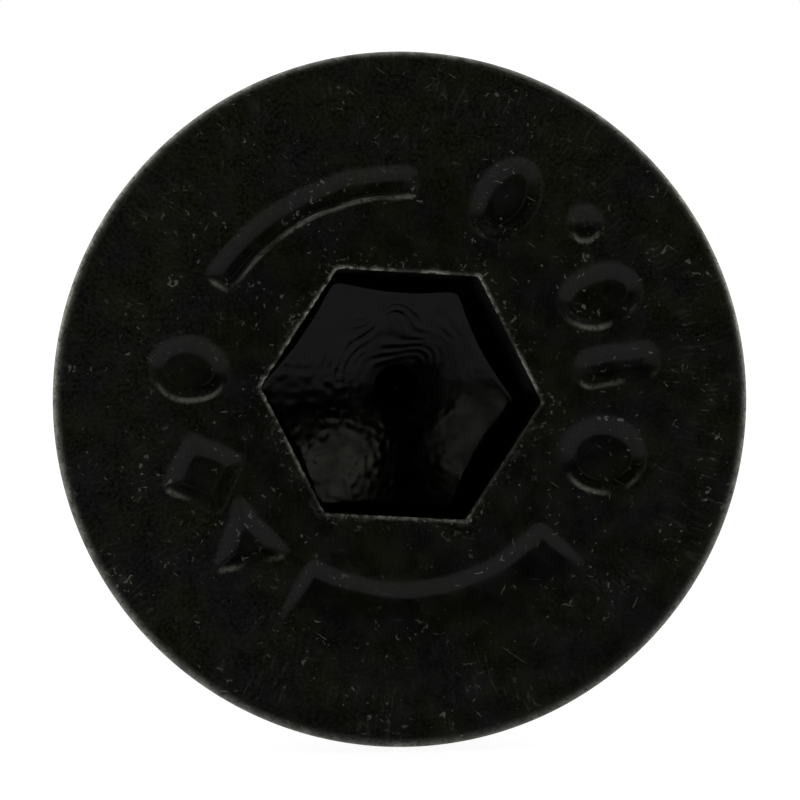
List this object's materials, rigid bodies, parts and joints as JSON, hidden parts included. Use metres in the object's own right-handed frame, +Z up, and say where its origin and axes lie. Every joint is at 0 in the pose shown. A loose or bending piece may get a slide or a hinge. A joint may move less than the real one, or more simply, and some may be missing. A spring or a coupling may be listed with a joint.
{
  "type": "countersunk socket screw",
  "caption": "Countersunk machine screw with a flat head, a hexagon socket and a fully threaded shank, in blackened steel.",
  "frame": {"origin": "on the ground, under the middle of the screw as it lies on its side", "axes": "+Z up; +Y along the screw from the flat face to the point; +X to the right as the face is looked at"},
  "size_m": [0.0116, 0.021, 0.0115],
  "materials": {
    "steel": "black oxide, oiled"
  },
  "bodies": {
    "root": {"screw": "steel"}
  },
  "joints": []
}
